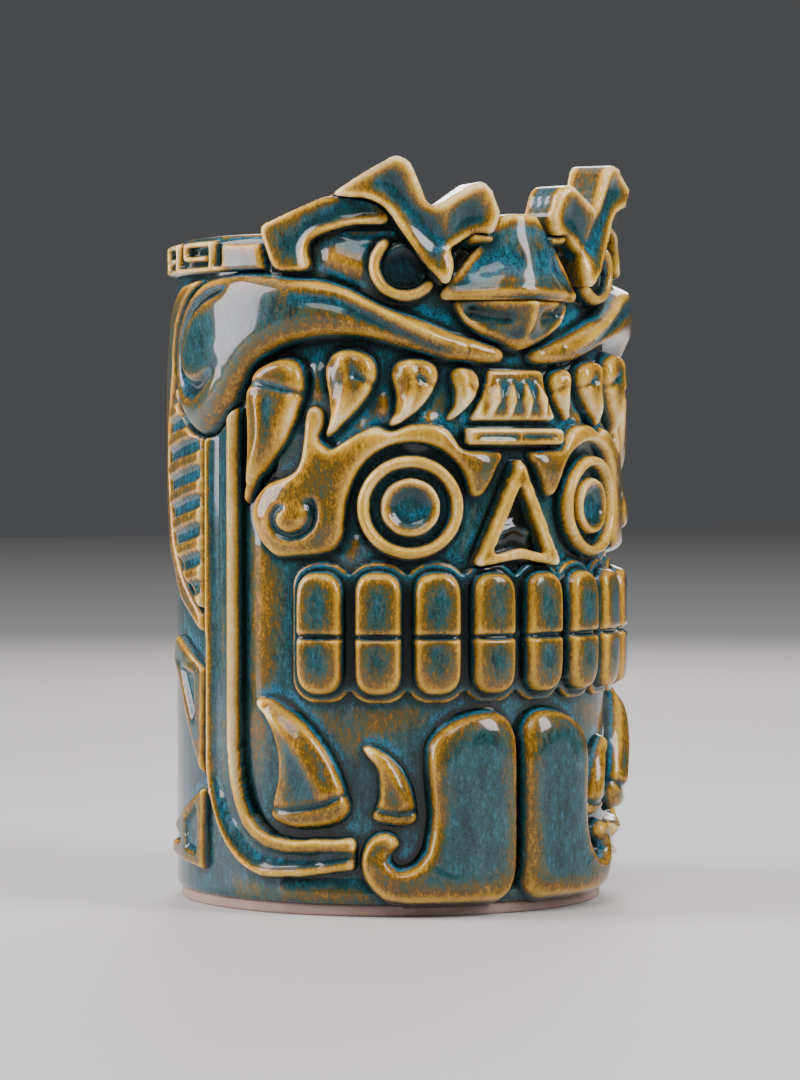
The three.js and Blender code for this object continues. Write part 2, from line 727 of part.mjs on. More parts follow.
{
  const half = [
    [-2.4, 126], [-2.4, 121], [-6, 121], [-6, 116], [-12, 116], [-12, 108], [-18, 108], [-18, 96], [-12, 96], [-12, 88],
    [-6, 88], [-6, 80], [-12, 80], [-12, 72], [-18, 72], [-18, 60], [-12, 60], [-12, 52], [-6, 52], [-6, 44], [-12, 44],
    [-12, 36], [-18, 36], [-18, 24], [-12, 24], [-12, 16], [-6, 16], [-6, 10],
  ];
  const whole = [...half, ...half.map(([degrees, height]) => [-degrees, height]).reverse()];
  const shape = outline(LEFT, ...whole);
  add("back_spine", rolled(raised(shape, SPINE_RISE)).rotateZ(Math.PI), GLAZE);
}

export default mug;
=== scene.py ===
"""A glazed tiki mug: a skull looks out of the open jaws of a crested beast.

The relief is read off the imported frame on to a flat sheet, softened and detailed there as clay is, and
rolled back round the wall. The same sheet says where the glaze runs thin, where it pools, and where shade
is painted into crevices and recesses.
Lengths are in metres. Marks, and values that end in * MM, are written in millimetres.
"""

import json
import math

import bpy
import numpy as np
from bpy.props import FloatProperty, FloatVectorProperty, IntProperty, PointerProperty
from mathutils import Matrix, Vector
from mathutils.bvhtree import BVHTree


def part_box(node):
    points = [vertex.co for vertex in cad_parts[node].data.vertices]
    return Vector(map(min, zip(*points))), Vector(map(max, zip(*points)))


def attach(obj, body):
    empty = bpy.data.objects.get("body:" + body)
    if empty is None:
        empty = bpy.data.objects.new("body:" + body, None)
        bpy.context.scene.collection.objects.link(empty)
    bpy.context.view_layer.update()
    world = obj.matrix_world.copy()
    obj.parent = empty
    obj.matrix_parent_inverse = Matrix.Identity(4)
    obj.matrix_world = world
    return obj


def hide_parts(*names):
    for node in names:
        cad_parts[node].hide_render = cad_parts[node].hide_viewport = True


bl_info = {
    "name": "Tiki mug",
    "version": (1, 0, 0),
    "blender": (4, 5, 0),
    "location": "View3D > Sidebar > Tiki mug",
    "description": "Models a glazed tiki mug round its packed frame",
    "category": "Add Mesh",
}

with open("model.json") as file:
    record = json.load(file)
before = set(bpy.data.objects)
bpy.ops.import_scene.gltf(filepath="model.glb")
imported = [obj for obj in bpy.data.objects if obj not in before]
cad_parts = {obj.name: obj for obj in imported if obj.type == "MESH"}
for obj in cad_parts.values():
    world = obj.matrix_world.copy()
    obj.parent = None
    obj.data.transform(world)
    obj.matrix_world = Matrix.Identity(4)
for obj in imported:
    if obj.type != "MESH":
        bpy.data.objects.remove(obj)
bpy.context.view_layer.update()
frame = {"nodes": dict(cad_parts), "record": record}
MM = 0.001
BODY = "root"
SIDES = ("left", "right")
TEAL, AMBER, CLAY = "teal_glaze", "amber_glaze", "bare_clay"  # the frame's material slots
FINISH = "_finish"  # ends the name of the material that each slot gets here


def places_of(node):
    """The corners of a CAD node, in metres."""
    mesh = frame["nodes"][node].data
    places = np.empty(len(mesh.vertices) * 3, np.float32)
    mesh.vertices.foreach_get("co", places)
    return places.reshape(-1, 3).astype(float)


def radius_of(places):
    """How far places are from the mug's axis."""
    return np.hypot(places[:, 0], places[:, 1])


def side_of(node):
    """The side that a node's name ends in, or else just its last word."""
    return node.rsplit("_", 1)[-1]


def slot_of(node):
    """The material slot that the frame gives a node."""
    return next(part["material_slot"] for part in frame["record"]["subparts"] if part["node"] == node)


VESSEL = places_of("vessel")
WALL_RADIUS = radius_of(VESSEL).max()
FOOT_HEIGHT = VESSEL[:, 2].min()
CREST_HEIGHT = VESSEL[:, 2].max()
FLOOR_HEIGHT = VESSEL[radius_of(VESSEL) < 1 * MM][:, 2].max()
BACK = VESSEL[VESSEL[:, 1] > 0.6 * WALL_RADIUS]  # the back has no crest, so it shows the rim
RIM_HEIGHT = BACK[:, 2].max()
INNER_RADIUS = radius_of(BACK[BACK[:, 2] > 0.9 * RIM_HEIGHT]).min()


# The unrolled wall -------------------------------------------------------------------------------


class Sheet:
    """The wall unrolled flat: columns run round it from the middle of the face, rows run up it."""

    cell = 0.34 * MM
    columns = 2 * round(math.pi * WALL_RADIUS / cell)
    rows = math.ceil((CREST_HEIGHT + 3 * MM) / cell)
    pitch = 2 * math.pi * WALL_RADIUS / columns
    air = -3 * MM  # how the empty space over the rim counts in the relief


def blurred(field, radius, wrap=False):
    """A field on the sheet, softened over a radius in metres."""
    if radius <= 0:
        return field
    reach = max(1, math.ceil(2.6 * radius / Sheet.cell))
    weights = np.exp(-0.5 * (np.arange(-reach, reach + 1) * Sheet.cell / radius) ** 2)
    weights /= weights.sum()
    for axis in (0, 1):
        pad = [(0, 0), (0, 0)]
        pad[axis] = (reach, reach)
        padded = np.pad(field, pad, mode="wrap" if wrap and axis == 1 else "edge")
        length = field.shape[axis]
        field = sum(w * np.take(padded, range(i, i + length), axis) for i, w in enumerate(weights))
    return field


def eased(values):
    """A quarter wave from 0 to 1."""
    return np.sin(0.5 * math.pi * np.clip(values, 0, 1))


def stepped(values, low, high):
    """A smooth step from 0 at low to 1 at high."""
    share = np.clip((values - low) / (high - low), 0, 1)
    return share * share * (3 - 2 * share)


def curved(line, steps=5):
    """A line of places with smooth corners, through all of them."""
    if len(line) < 3:
        return line
    ends = [line[0], *line, line[-1]]
    curve = []
    for p0, p1, p2, p3 in zip(ends, ends[1:], ends[2:], ends[3:]):
        for k in range(steps):
            t = k / steps
            weights = (
                -0.5 * t + t**2 - 0.5 * t**3,
                1 - 2.5 * t**2 + 1.5 * t**3,
                0.5 * t + 2 * t**2 - 1.5 * t**3,
                -0.5 * t**2 + 0.5 * t**3,
            )
            corners = list(zip(weights, (p0, p1, p2, p3)))
            curve.append(tuple(sum(w * p[axis] for w, p in corners) for axis in (0, 1)))
    return [*curve, line[-1]]


class Mark:
    """Something modelled into a form: a ridge along a line, or a groove where the rise is negative.

    A place is (degrees round from the middle of the face, height in mm), on the left half. The rise and
    the width are in mm, and the rise fades towards the ends of the line when it tapers. One place alone
    gives a round mound. A higher crown gives a flatter top and steeper sides.
    """

    def __init__(self, rise, width, *line, taper=False, crown=2):
        self.rise = rise * MM
        self.width = width * MM
        self.line = curved([(math.radians(degrees) * WALL_RADIUS, up * MM) for degrees, up in line])
        self.taper = taper
        self.crown = crown

    def over(self, along, up):
        """How much it adds at places of the left half."""
        best = np.full(along.shape, 1.0)
        share = np.zeros(along.shape)
        pairs = list(zip(self.line, self.line[1:])) or [(self.line[0], self.line[0])]
        for index, ((x0, y0), (x1, y1)) in enumerate(pairs):
            run = max((x1 - x0) ** 2 + (y1 - y0) ** 2, 1e-12)
            t = np.clip(((along - x0) * (x1 - x0) + (up - y0) * (y1 - y0)) / run, 0, 1)
            away = np.hypot(along - x0 - t * (x1 - x0), up - y0 - t * (y1 - y0))
            share = np.where(away < best, (index + t) / len(pairs), share)
            best = np.minimum(best, away)
        rise = self.rise * np.exp(-((best / self.width) ** self.crown))
        return rise * np.sqrt(np.sin(math.pi * np.clip(share, 0, 1))) if self.taper else rise


def marked(along, up, marks, side=None):
    """What marks add at places of the sheet: on both halves, or on the half that the side names."""
    left = {"left": along, "right": -along}.get(side, -np.abs(along))
    return sum((mark.over(left, up) for mark in marks), np.zeros(along.shape))


class Window:
    """The part of the sheet that a node covers, with how high the node stands over the wall there."""

    margin = 8  # cells kept clear round the node
    reach = 20 * MM  # how far out a look starts
    depth = 2 * MM  # how far into the wall it goes

    def __init__(self, node):
        places = places_of(node)
        middle = places[:, :2].mean(0)
        turn = math.atan2(middle[0], -middle[1])
        angles = np.arctan2(places[:, 0], -places[:, 1]) - turn
        angles = (angles + math.pi) % (2 * math.pi) - math.pi + turn
        first = math.floor(angles.min() * WALL_RADIUS / Sheet.pitch) - self.margin
        last = math.ceil(angles.max() * WALL_RADIUS / Sheet.pitch) + self.margin
        low = max(0, math.floor(places[:, 2].min() / Sheet.cell) - self.margin)
        high = min(Sheet.rows, math.ceil(places[:, 2].max() / Sheet.cell) + self.margin)
        self.columns = np.arange(first, last + 1)
        self.rows = np.arange(low, high + 1)
        self.along, self.up = np.meshgrid(self.columns * Sheet.pitch, self.rows * Sheet.cell)
        self.raw = self.cast(node)
        self.inside = np.isfinite(self.raw).astype(float)
        self.raw = np.nan_to_num(self.raw)

    def spread(self, field):
        """A field of this window, laid in its place on the whole sheet."""
        whole = np.zeros((Sheet.rows + 1, Sheet.columns))
        whole[np.ix_(self.rows, self.columns % Sheet.columns)] = field
        return whole

    def cast(self, node):
        """Looks at the node from outside, square to the wall, at each place of the sheet."""
        mesh = frame["nodes"][node].data
        tree = BVHTree.FromPolygons([v.co for v in mesh.vertices], [p.vertices for p in mesh.polygons])
        heights = np.full(self.along.shape, np.nan)
        out = [(math.sin(a), -math.cos(a)) for a in self.columns * Sheet.pitch / WALL_RADIUS]
        far = WALL_RADIUS + self.reach
        for j, (x, y) in enumerate(out):
            for i, z in enumerate(self.rows * Sheet.cell):
                start = Vector((far * x, far * y, z))
                distance = tree.ray_cast(start, Vector((-x, -y, 0)), self.reach + self.depth)[3]
                if distance is not None:
                    heights[i, j] = far - distance - WALL_RADIUS
        return heights


class Relief:
    """How high everything stands over the wall, all round, how the glaze lies on it, and where shade is
    painted into its low places.
    """

    def __init__(self):
        columns = np.arange(Sheet.columns)
        columns = np.where(columns > Sheet.columns / 2, columns - Sheet.columns, columns)
        self.along, self.up = np.meshgrid(columns * Sheet.pitch, np.arange(Sheet.rows + 1) * Sheet.cell)
        self.wall = marked(self.along, self.up, WALL_MARKS)
        # warmth also holds painted shade: the nose pit, and in part the gaps between the teeth
        self.warmth = marked(self.along, self.up, WARMTH_AND_SHADE_MARKS) / MM
        self.height = self.wall.copy()
        self.height[round(RIM_HEIGHT / Sheet.cell) :] = Sheet.air
        self.glaze = {}

    def add(self, window, heights):
        """Lays a piece on the wall."""
        target = np.ix_(window.rows, window.columns % Sheet.columns)
        self.height[target] = np.maximum(self.height[target], heights)

    def settle(self, props):
        """Works out how the glaze runs off what stands proud and pools in what lies low, and paints shade
        into crevices and recesses.
        """
        fine, broad = props.edge_break, props.slope_break

        def proud(radius):
            return (self.height - blurred(self.height, radius, True)) / MM

        crisp, crack, slope = proud(0.8 * fine), proud(fine), proud(broad)
        # Proud edges thin the glaze to amber and cream. The negative terms darken crevices and recesses,
        # partly as pooled glaze and partly as painted shade.
        thin = 0.75 * np.tanh(np.maximum(crisp, 0) / 0.5) + 1.15 * np.tanh(np.minimum(crack, 0) / 0.8)
        thin += 0.52 * np.tanh(np.maximum(slope, 0) / 0.9) + 0.3 * np.tanh(np.minimum(slope, 0) / 1.5)
        self.glaze["glaze_thin"] = thin + self.warmth
        drop = round(props.pool_run / Sheet.cell)
        below = np.vstack([np.repeat(self.height[:1], drop, 0), self.height[:-drop]])
        self.glaze["glaze_pool"] = np.clip(blurred(below - self.height, fine, True) / MM, -2, 2)

    def sample(self, field, along, up):
        """A field's values at places on the sheet."""
        column = along / Sheet.pitch
        row = np.clip(up / Sheet.cell, 0, Sheet.rows - 1.001)
        j, i = np.floor(column).astype(int), np.floor(row).astype(int)
        u, v = column - j, row - i
        j0, j1 = j % Sheet.columns, (j + 1) % Sheet.columns
        low = field[i, j0] * (1 - u) + field[i, j1] * u
        high = field[i + 1, j0] * (1 - u) + field[i + 1, j1] * u
        return low * (1 - v) + high * v


WINDOWS = {}  # by node
HEIGHTS = {}  # by node: how high the softened piece stands over the wall
SINK = 1.1 * MM  # how far a piece's edge goes on into the wall
SEAT_DEPTH = 1.7 * MM  # where the flat back of a piece lies, inside the wall
SIDE_PULL = 0.9 * MM  # how far inside the outline a side's glaze is read
SIDE_FADE = (0.3 * MM, 2.6 * MM)  # how far down a side the glaze starts to darken, and has done
RIM_ZONE = (RIM_HEIGHT - 4 * MM, RIM_HEIGHT)  # where a piece comes free of the wall
OUTLINE_BLUR = 0.5 * MM  # evens out the steps of a thick piece's outline
TRACE = 0.02 * MM  # how little of a piece still counts
GROWN = 0.16  # the cover at which a piece that grows ends
CROWN = (0.5, 0.45)  # the cover where the swell starts, and over how much it rises
SHOULDER = (0.28, 0.6)  # the same for the rounded edge


class Form:
    """How a flat CAD piece is softened. Lengths are in mm.

    Its edge is rounded over a distance and its detail is blurred over another. Its middle swells up, from
    a spread inside the outline, and its rim sinks by a share, the dome. It may grow past the outline.
    """

    def __init__(self, edge, detail=0.35, swell=0.0, spread=3.0, dome=0.0, grow=0.0, marks=()):
        self.edge = edge * MM
        self.grow = grow * MM
        self.detail = detail * MM
        self.swell = swell * MM
        self.spread = spread * MM
        self.dome = dome
        self.marks = marks


def levelled(window, form):
    """The piece's front face, carried on a little past its outline where the piece grows."""
    reach = max(form.detail, form.grow)
    top = blurred(window.raw * window.inside, reach) / np.maximum(blurred(window.inside, reach), 1e-3)
    if form.grow:
        window.inside = (blurred(window.inside, form.grow) > GROWN).astype(float)
    return top


def softened(node, window, form):
    """The height of a piece over the wall, everywhere in its window."""
    top = levelled(window, form)
    cover = blurred(window.inside, form.edge)
    crown = eased((blurred(window.inside, form.spread) - CROWN[0]) / CROWN[1])
    top = top * (1 - form.dome * (1 - crown)) + form.swell * crown
    top = top + marked(window.along, window.up, form.marks, side_of(node))
    return (top + SINK) * eased((cover - SHOULDER[0]) / SHOULDER[1]) - SINK


# Lines that long marks follow, given as in a mark.
JAW_BEND = ((-83, 24), (-78, 15.5), (-69, 9.6), (-57, 9.2), (-43, 11))
LIP_CREASE = ((-57, 129), (-46, 127.8), (-38, 124.8), (-28, 120.8), (-18, 117.6))
LIP_CREST = ((-57, 132), (-45, 131), (-38, 128), (-30, 124), (-20, 119.8), (-14, 118.6))
FORMS = {
    "jaw_band": Form(
        0.7,
        0.5,
        marks=[
            Mark(0.9, 0.9, (-85.6, 108), (-85.4, 34), *JAW_BEND),
            Mark(-0.5, 1.6, (-81.5, 108), (-81.5, 34), (-79, 25), (-74, 17.6), (-66, 12.4), (-52, 12)),
        ],
    ),
    "tongue": Form(1.3, swell=0.7, grow=0.35, spread=4, dome=0.25),
    "lower_fang_outer": Form(
        1.2,
        swell=0.4,
        dome=0.35,
        marks=[
            Mark(-0.7, 0.7, (-65, 22.6), (-58, 22.4), (-50, 23.6), (-42, 26.6)),
            Mark(0.9, 1.6, (-68.5, 43.5), (-61, 40.5), (-54, 34), (-49, 26)),
        ],
    ),
    "lower_fang_inner": Form(
        1.1,
        swell=0.4,
        dome=0.35,
        marks=[
            Mark(-0.6, 0.6, (-38, 23), (-31, 21.8), (-25, 22.8)),
            Mark(0.8, 1.4, (-39, 35), (-33, 30.6), (-29.5, 24)),
        ],
    ),
    "gum_plate": Form(0.45),
    "tooth_pair": Form(1.4, 0.3, swell=0.3, grow=0.15, dome=0.15),
    "eye_ring": Form(0.95, 0.5),
    "eye_iris": Form(0.8, 0.7),
    "brow_arch": Form(1.0, 0.5, swell=0.6, spread=2.5, dome=0.2, marks=[Mark(1.6, 5.2, (-59, 83.6))]),
    "nose_frame": Form(0.6, 0.4, grow=0.25),
    "upper_fang_1": Form(
        1.2,
        swell=0.5,
        dome=0.35,
        spread=2.2,
        marks=[
            Mark(-0.8, 0.8, (-71, 110.8), (-66, 111.6), (-60, 110.4), (-53, 109)),
            Mark(0.8, 1.2, (-65.5, 108), (-65, 100), (-68.5, 91)),
        ],
    ),
    "upper_fang_2": Form(
        1.0,
        swell=0.4,
        dome=0.35,
        spread=2.2,
        marks=[
            Mark(0.8, 1.1, (-44.5, 117), (-43, 110), (-46.5, 102)),
            Mark(-0.6, 1.0, (-47.6, 116), (-46.6, 110), (-47.6, 105)),
            Mark(-0.6, 0.8, (-41, 113), (-36, 110.5)),
        ],
    ),
    "upper_fang_3": Form(
        0.9,
        swell=0.4,
        dome=0.35,
        spread=2.0,
        marks=[
            Mark(0.7, 0.9, (-28.5, 115.5), (-27.5, 110), (-30.5, 103.5)),
            Mark(-0.6, 0.9, (-31.5, 114), (-30.6, 109), (-31.2, 105.6)),
            Mark(-0.5, 0.7, (-26, 112.4), (-21.4, 110.4)),
        ],
    ),
    "upper_fang_4": Form(
        0.8,
        swell=0.4,
        dome=0.35,
        spread=1.8,
        marks=[
            Mark(0.6, 0.8, (-15.4, 114), (-14.4, 109), (-17, 104.6)),
            Mark(-0.4, 0.7, (-14, 111), (-10.6, 109.4)),
        ],
    ),
    "incisor_plaque": Form(0.5, 0.45),
    "plaque_bar": Form(0.5, marks=[Mark(-0.9, 1.0, (-12, 100.4), (0, 100.4), taper=True)]),
    "lip": Form(
        1.5,
        0.7,
        swell=0.3,
        grow=0.3,
        spread=4.5,
        dome=0.42,
        marks=[
            Mark(-0.9, 1.5, *LIP_CREASE, taper=True),
            Mark(1.0, 1.3, *LIP_CREST, taper=True),
        ],
    ),
    "beak_bridge": Form(
        0.8,
        1.5,
        grow=0.5,
        marks=[
            Mark(0.8, 0.9, (-19, 130), (-11, 130.2), (0, 130.6)),
            Mark(-0.9, 2.6, (-10, 135.5), (-5, 137)),
        ],
    ),
    "beak_under": Form(
        0.7,
        1.0,
        grow=0.4,
        marks=[
            Mark(-1.8, 1.5, (-12.5, 126.4), (-5.5, 125.2)),
            Mark(1.2, 1.1, (-17, 126), (-11, 122.8), (-5, 120.6), (0, 119.6)),
            Mark(0.9, 1.0, (0, 128), (0, 121)),
        ],
    ),
    "eye_crescent": Form(0.8, swell=1.2, spread=1.2, grow=0.55),
    "beast_pupil": Form(0.8, swell=-0.5, spread=2, grow=1.3),
    "brow_lid": Form(
        0.6,
        0.5,
        grow=0.6,
        marks=[
            Mark(0.8, 1.1, (-53.6, 136), (-54, 139.6), (-52, 142.6), (-45, 144), (-36, 145)),
            Mark(-0.6, 2.6, (-57, 141), (-48, 146.4), (-40, 148)),
        ],
    ),
    "brow_ridge": Form(
        0.6,
        0.5,
        marks=[
            Mark(-3.0, 4.0, (-48, 150.5)),
            Mark(-2.2, 3.4, (-33, 152.5), (-27, 146), (-20.5, 141), (-14.6, 145.6)),
            Mark(0.8, 1.0, (-45, 149.5), (-38, 149), (-33.6, 145.6), (-27.5, 138), (-21, 131.6)),
            Mark(0.9, 1.1, (-46, 151.2), (-33.6, 157.4)),
            Mark(0.9, 1.1, (-21.5, 147.6), (-13.4, 152)),
        ],
    ),
    "feather_fan": Form(0.45, 0.3),
    "fan_rim": Form(0.8),
    "zigzag_panel": Form(0.55, 0.35),
    "corner_panel": Form(0.55, 0.35),
    "rim_frieze": Form(0.4, 0.25),
    "back_spine": Form(0.7),
}

# What is modelled into the wall between the pieces.
WALL_MARKS = [
    # the beast's eye socket and the hollow beside its beak
    Mark(1.9, 3.4, (-46.5, 137.4), (-41, 135.6)),
    Mark(-1.8, 2.4, (-15.8, 138.4), (-16.2, 135)),
    Mark(4.6, 1.9, (-9, 141.4), (-12.6, 141.8)),
    # gums between the upper fangs
    Mark(0.9, 1.4, (-34.5, 108), (-34.4, 106)),
    Mark(1.5, 2.4, (-57, 101), (-61, 96)),
    Mark(1.3, 2.2, (-40, 101.5), (-44, 98.4)),
    Mark(1.3, 2.0, (-23.6, 103.4), (-26, 101)),
    Mark(1.0, 1.6, (-51.6, 114), (-51, 109)),
    Mark(0.9, 3.0, (-50, 111), (-53, 106.5)),
    # cheek, nose and foot
    Mark(1.1, 1.8, (-42.6, 75.6), (-41.6, 78)),
    Mark(1.0, 3.4, (-67.5, 78), (-67.5, 60), (-67, 46)),
    Mark(1.1, 1.0, (-4.4, 80.2), (0, 81.4)),
    Mark(0.5, 2.0, (-60, 4.6), (-30, 4.6), (0, 4.6)),
]

# How much warmer, or colder, the glaze is than its relief alone would make it. Some marks paint shade
# instead: the nose pit, and in part the gaps between the teeth.
WARMTH_AND_SHADE_MARKS = [
    # the fang row, the cheeks and the jaw
    Mark(0.45, 6.5, (-56, 104), (-40, 104), (-20, 106), (0, 104)),
    Mark(0.20, 9.0, (-52, 92), (-30, 88), (-8, 84), (0, 80)),
    Mark(0.34, 5.6, (-67.5, 82), (-67.5, 60), (-68, 44)),
    Mark(0.30, 4.5, (-71, 38), (-70.5, 30)),
    Mark(0.30, 4.8, (-54, 43), (-44, 37.5), (-38, 41)),
    Mark(0.22, 4.0, (-24, 43), (-30, 42.5)),
    # the beast's eye, the foot, the side, the lip and the tongue
    Mark(0.34, 4.2, (-46, 137), (-41, 135)),
    Mark(-0.3, 4.8, (-28.6, 135.4), crown=6),
    Mark(-0.2, 7.6, (-29.4, 135.6), crown=8),
    Mark(0.18, 3.0, (-75, 4.6), (-30, 4.4), (0, 4.6)),
    Mark(0.14, 4.0, (-80, 60), (-80, 30)),
    Mark(0.24, 3.0, (-24, 124), (-12, 120)),
    Mark(-0.08, 8.0, (-12, 30), (-12, 14)),
    # the skull's eyes, nose, plaque bar and the gaps between its teeth
    Mark(-0.30, 11.6, (-28, 85.6), crown=10),
    Mark(1.05, 8.2, (-28, 85.6), crown=12),
    Mark(-1.05, 6.6, (-28, 85.6), crown=12),
    # painted shade: darkens the upper nose pit to near black
    Mark(-1.8, 2.6, (0, 84.6), (0, 80.6), crown=3),
    Mark(0.5, 1.2, (-3.6, 79.8), (0, 81.2)),
    Mark(-0.32, 9.0, (0, 92), (0, 76), crown=6),
    Mark(-0.28, 2.6, (-12, 100.4), (0, 100.4), crown=4),
    # dark lines in the gaps between the teeth: partly pooled glaze, partly painted shade
    *[Mark(-0.4, 0.9, (gap, 71), (gap, 48)) for gap in (0, -14.35, -28.7, -43.05)],
]

relief = Relief()


def form_of(node):
    """How a node is softened."""
    return next(form for stem, form in FORMS.items() if node.startswith(stem))


def survey():
    """Reads the relief off the frame."""
    for node in frame["nodes"]:
        if node in ("vessel", "foot_disc"):
            continue
        WINDOWS[node] = Window(node)
        HEIGHTS[node] = softened(node, WINDOWS[node], form_of(node))
        relief.add(WINDOWS[node], HEIGHTS[node])


# Modelling ---------------------------------------------------------------------------------------

CORE_LIFT = 0.42 * MM  # how far the crest's core stands over the vessel's face
CORE_SINK = 0.12 * MM  # how far its lower edge starts inside the wall
CORE_INSET = (0.8 * MM, 0.84)  # a blur, and the cover over which the core is kept, inside the brows
CORE_RUN = 9 * MM  # over what height it rises
VESSEL_STEPS = 400  # in how many steps the vessel's profile is spun
VESSEL_ROW = 0.7 * MM  # how far apart its rows are
FACE_BIAS = 0.35  # how much finer the steps are round the face than round the back
HEM = 0.9 * MM  # how far from the bottom edge the rows start
HEM_CUT = 0.25 * MM  # the edge's own small chamfer
POCKET_BLUR = 0.7 * MM  # rounds the nose pocket
INNER_CORNER = 8 * MM  # radius between the inner wall and the floor



def clear_selection():
    """Leaves nothing selected, in object mode."""
    if bpy.context.object and bpy.context.object.mode != "OBJECT":
        bpy.ops.object.mode_set(mode="OBJECT")
    bpy.ops.object.select_all(action="DESELECT")


def edit(piece, work):
    """Runs operators on a piece in edit mode, with all of it selected to start with."""
    bpy.ops.object.mode_set(mode="EDIT")
    bpy.ops.mesh.select_all(action="SELECT")
    work()
    bpy.ops.object.mode_set(mode="OBJECT")


def get_places(piece):
    """A piece's corners."""
    places = np.empty(len(piece.data.vertices) * 3)
    piece.data.vertices.foreach_get("co", places)
    return places.reshape(-1, 3)


def set_places(piece, places):
    """Moves a piece's corners."""
    piece.data.vertices.foreach_set("co", places.ravel())
    piece.data.update()


def rolled(along, up, height):
    """Places on the sheet, rolled round the wall."""
    angle = along / WALL_RADIUS
    radius = WALL_RADIUS + height
    return np.column_stack([radius * np.sin(angle), -radius * np.cos(angle), up])


def glazed(piece, along, up):
    """Stores how the glaze lies at each vertex, with the shade painted into its crevices."""
    for name in relief.glaze:
        layer = piece.data.attributes.new(name, "FLOAT", "POINT")
        layer.data.foreach_set("value", relief.sample(relief.glaze[name], along, up))


def finished(piece, name, slot, *nodes):
    """Names a piece, gives it its finish, and hides the CAD nodes it stands in for."""
    piece.name = piece.data.name = name
    piece.data.materials.clear()
    piece.data.materials.append(bpy.data.materials[slot + FINISH])
    piece.data.polygons.foreach_set("use_smooth", [True] * len(piece.data.polygons))
    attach(piece, BODY)
    if nodes:
        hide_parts(*nodes)


def slab(keep):
    """A sheet of clay in the outline of the kept places, cut from a flat grid and given a back."""
    rows, columns = keep.shape
    clear_selection()
    bpy.ops.mesh.primitive_grid_add(x_subdivisions=columns - 1, y_subdivisions=rows - 1, size=1)
    piece = bpy.context.object

    def cells():
        places = get_places(piece)
        j = np.rint((places[:, 0] + 0.5) * (columns - 1)).astype(int)
        i = np.rint((places[:, 1] + 0.5) * (rows - 1)).astype(int)
        return i, j, places[:, 2] < -0.5

    edit(piece, lambda: bpy.ops.mesh.select_all(action="DESELECT"))
    i, j, _ = cells()
    piece.data.vertices.foreach_set("select", ~keep[i, j])
    bpy.ops.object.mode_set(mode="EDIT")
    bpy.ops.mesh.delete(type="VERT")
    bpy.ops.object.mode_set(mode="OBJECT")
    edit(piece, lambda: bpy.ops.mesh.extrude_region_move(TRANSFORM_OT_translate={"value": (0, 0, -1)}))
    return piece, *cells()


def outward():
    """Turns the selected faces outward."""
    bpy.ops.mesh.normals_make_consistent(inside=False)


def neighbours(cells):
    """The cells, shifted one step each of four ways."""
    return [np.roll(cells, step, axis) for axis in (0, 1) for step in (1, -1)]


def apply_modifier(piece, kind, **settings):
    """Gives the active piece a modifier and applies it."""
    modifier = piece.modifiers.new(kind, kind)
    for name, value in settings.items():
        setattr(modifier, name, value)
    bpy.ops.object.modifier_apply(modifier=modifier.name)


def relief_piece(node):
    """One piece of the relief, its edges sunk in the wall."""
    window, heights = WINDOWS[node], HEIGHTS[node]
    cells = heights > TRACE - SINK
    piece, i, j, back = slab(np.logical_or.reduce([cells, *neighbours(cells)]))
    along, up = window.along[i, j], window.up[i, j]
    set_places(piece, rolled(along, up, np.where(back, -SEAT_DEPTH, heights[i, j])))
    edit(piece, outward)
    apply_modifier(piece, "SMOOTH", factor=0.5, iterations=4)
    glazed(piece, along, up)
    finished(piece, node + "_relief", slot_of(node), node)


def solid_piece(window, top, depth, name, slot, props, *nodes):
    """A piece that shows its edges all the way down: a thick slab, worn round.

    Over the rim it is thick behind the wall's face too. Its sides take their glaze from just inside the
    outline, and the glaze gets darker down them.
    """
    cover = blurred(window.inside, OUTLINE_BLUR)
    slope_up, slope_along = np.gradient(cover, Sheet.cell, Sheet.pitch)
    steep = np.sqrt(slope_up**2 + slope_along**2)
    shift = (0.5 - cover) / np.maximum(steep, 1) ** 2
    keep = cover >= 0.5
    edge = keep & ~np.logical_and.reduce(neighbours(keep))
    along = window.along + np.where(edge, shift * slope_along, 0)
    up = window.up + np.where(edge, shift * slope_up, 0)
    free = stepped(window.up, *RIM_ZONE)
    behind = -depth + free * (depth - props.crest_back)
    piece, i, j, back = slab(keep)
    set_places(piece, rolled(along[i, j], up[i, j], np.where(back, behind[i, j], top[i, j])))
    edit(piece, outward)
    apply_modifier(piece, "REMESH", mode="VOXEL", voxel_size=props.crest_grain, use_smooth_shade=True)
    apply_modifier(piece, "SMOOTH", factor=0.5, iterations=props.crest_wear)
    places = get_places(piece)
    along, up = np.arctan2(places[:, 0], -places[:, 1]) * WALL_RADIUS, places[:, 2]
    height = radius_of(places) - WALL_RADIUS
    inward = (slope_along / np.maximum(steep, 1), slope_up / np.maximum(steep, 1))
    front, rear, pull_along, pull_up, covered = (
        relief.sample(window.spread(field), along, up) for field in (top, behind, *inward, cover)
    )
    side = 1 - stepped(covered, 0.6, 0.97)
    pull = SIDE_PULL * side
    glazed(piece, along + pull * pull_along, up + pull * pull_up)
    down = np.minimum(front - height, height - rear)
    fade(piece, "glaze_thin", 0.9 * side * stepped(down, *SIDE_FADE))
    finished(piece, name, slot, *nodes)


def fade(piece, name, amounts):
    """Takes amounts off an attribute of a piece."""
    layer = piece.data.attributes[name].data
    values = np.empty(len(layer))
    layer.foreach_get("value", values)
    layer.foreach_set("value", values - amounts)


def worn_piece(node, props, depth=SEAT_DEPTH):
    """A CAD node as a worn solid piece."""
    window, form = Window(node), form_of(node)
    top = levelled(window, form) + marked(window.along, window.up, form.marks, side_of(node))
    solid_piece(window, top, depth, node + "_relief", slot_of(node), props, node)


